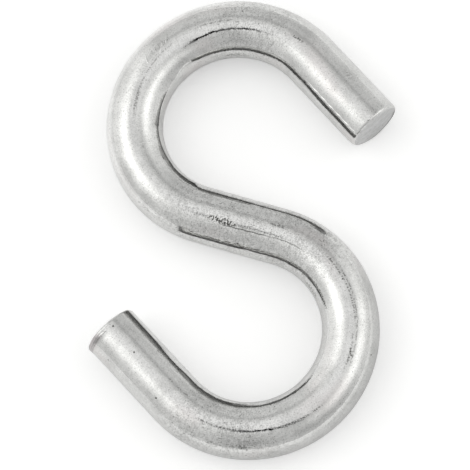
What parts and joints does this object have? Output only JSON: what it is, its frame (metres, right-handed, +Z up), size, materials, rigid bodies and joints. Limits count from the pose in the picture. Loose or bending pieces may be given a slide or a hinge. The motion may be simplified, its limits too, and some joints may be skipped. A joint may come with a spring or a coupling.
{
  "type": "s hook",
  "caption": "Open S hook bent from round zinc plated steel wire, with two facing eyes, straight tips and sheared ends.",
  "frame": {"origin": "on the surface that the hook lies on, under the middle of its outline", "axes": "+Y along the line of pull, from the lower hook towards the upper hook; +X across the hook, towards the side where the upper tip ends; +Z up from the surface, square to the plane that the wire is bent in"},
  "size_m": [0.0448, 0.066, 0.008],
  "materials": {
    "zinc_plated_steel": "bright zinc plating over drawn steel wire: softly glossy, with fine draw marks and small dark pits"
  },
  "bodies": {
    "root": {"s_hook": "zinc_plated_steel"}
  },
  "joints": []
}
